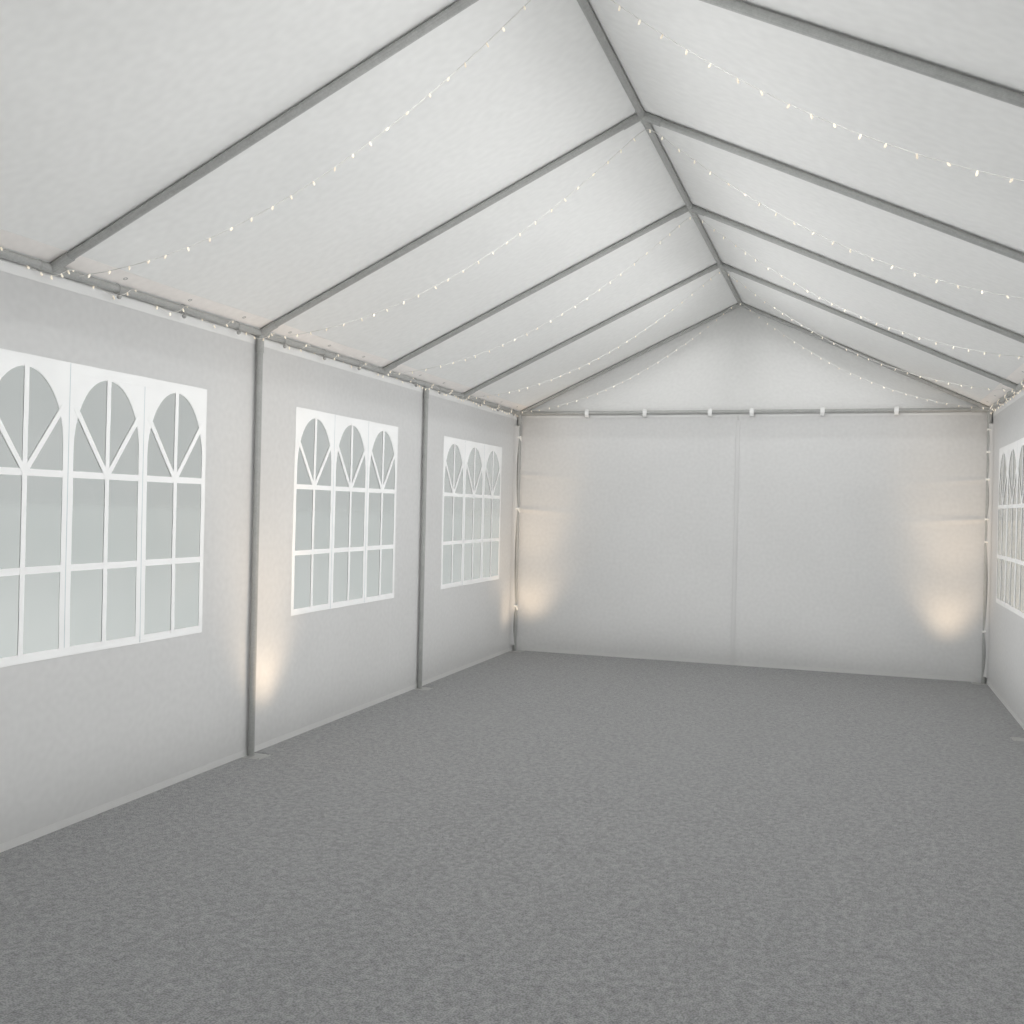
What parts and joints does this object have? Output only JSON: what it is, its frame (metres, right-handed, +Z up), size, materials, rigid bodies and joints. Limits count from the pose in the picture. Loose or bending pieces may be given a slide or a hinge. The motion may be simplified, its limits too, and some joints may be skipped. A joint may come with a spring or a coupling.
{
  "type": "frame marquee",
  "caption": "White fabric marquee on a steel tube frame, with arched window walls, an open front, a carpet and strings of small lights.",
  "frame": {"origin": "on the ground at the middle of the floor", "axes": "+Z up, +Y along the ridge towards the closed rear gable, +X towards the right-hand wall seen from the open front"},
  "size_m": [4.0758, 8.0779, 3.1604],
  "materials": {
    "steel_tube": "satin",
    "roof_cloth": "matte",
    "wall_cloth": "matte",
    "window_film": "clear",
    "carpet_pile": "matte",
    "string_wire": "satin",
    "lamp": "clear",
    "trim_white": "satin"
  },
  "bodies": {
    "root": {"post_left_1": "steel_tube", "post_left_2": "steel_tube", "post_left_3": "steel_tube", "post_left_4": "steel_tube", "post_left_5": "steel_tube", "post_right_1": "steel_tube", "post_right_2": "steel_tube", "post_right_3": "steel_tube", "post_right_4": "steel_tube", "post_right_5": "steel_tube", "eave_beam_left": "steel_tube", "eave_beam_right": "steel_tube", "ridge_beam": "steel_tube", "rafter_left_1": "steel_tube", "rafter_left_2": "steel_tube", "rafter_left_3": "steel_tube", "rafter_left_4": "steel_tube", "rafter_left_5": "steel_tube", "rafter_left_6": "steel_tube", "rafter_left_7": "steel_tube", "rafter_right_1": "steel_tube", "rafter_right_2": "steel_tube", "rafter_right_3": "steel_tube", "rafter_right_4": "steel_tube", "rafter_right_5": "steel_tube", "rafter_right_6": "steel_tube", "rafter_right_7": "steel_tube", "tie_beam_front": "steel_tube", "tie_beam_rear": "steel_tube", "roof_cover": "roof_cloth", "gable_panel_front": "roof_cloth", "gable_panel_rear": "roof_cloth", "side_wall_left_front": "wall_cloth", "side_wall_left_rear": "wall_cloth", "side_wall_right_front": "wall_cloth", "side_wall_right_rear": "wall_cloth", "window_left_1": "window_film", "window_left_2": "window_film", "window_left_3": "window_film", "window_left_4": "window_film", "window_right_1": "window_film", "window_right_2": "window_film", "window_right_3": "window_film", "window_right_4": "window_film", "rear_wall_left": "wall_cloth", "rear_wall_right": "wall_cloth", "front_curtain_left": "wall_cloth", "front_curtain_right": "wall_cloth", "floor_carpet": "carpet_pile", "light_string_1": "string_wire", "light_string_2": "string_wire", "light_string_3": "string_wire", "light_string_4": "string_wire", "light_string_5": "string_wire", "light_string_6": "string_wire", "light_string_7": "string_wire"}
  },
  "joints": []
}
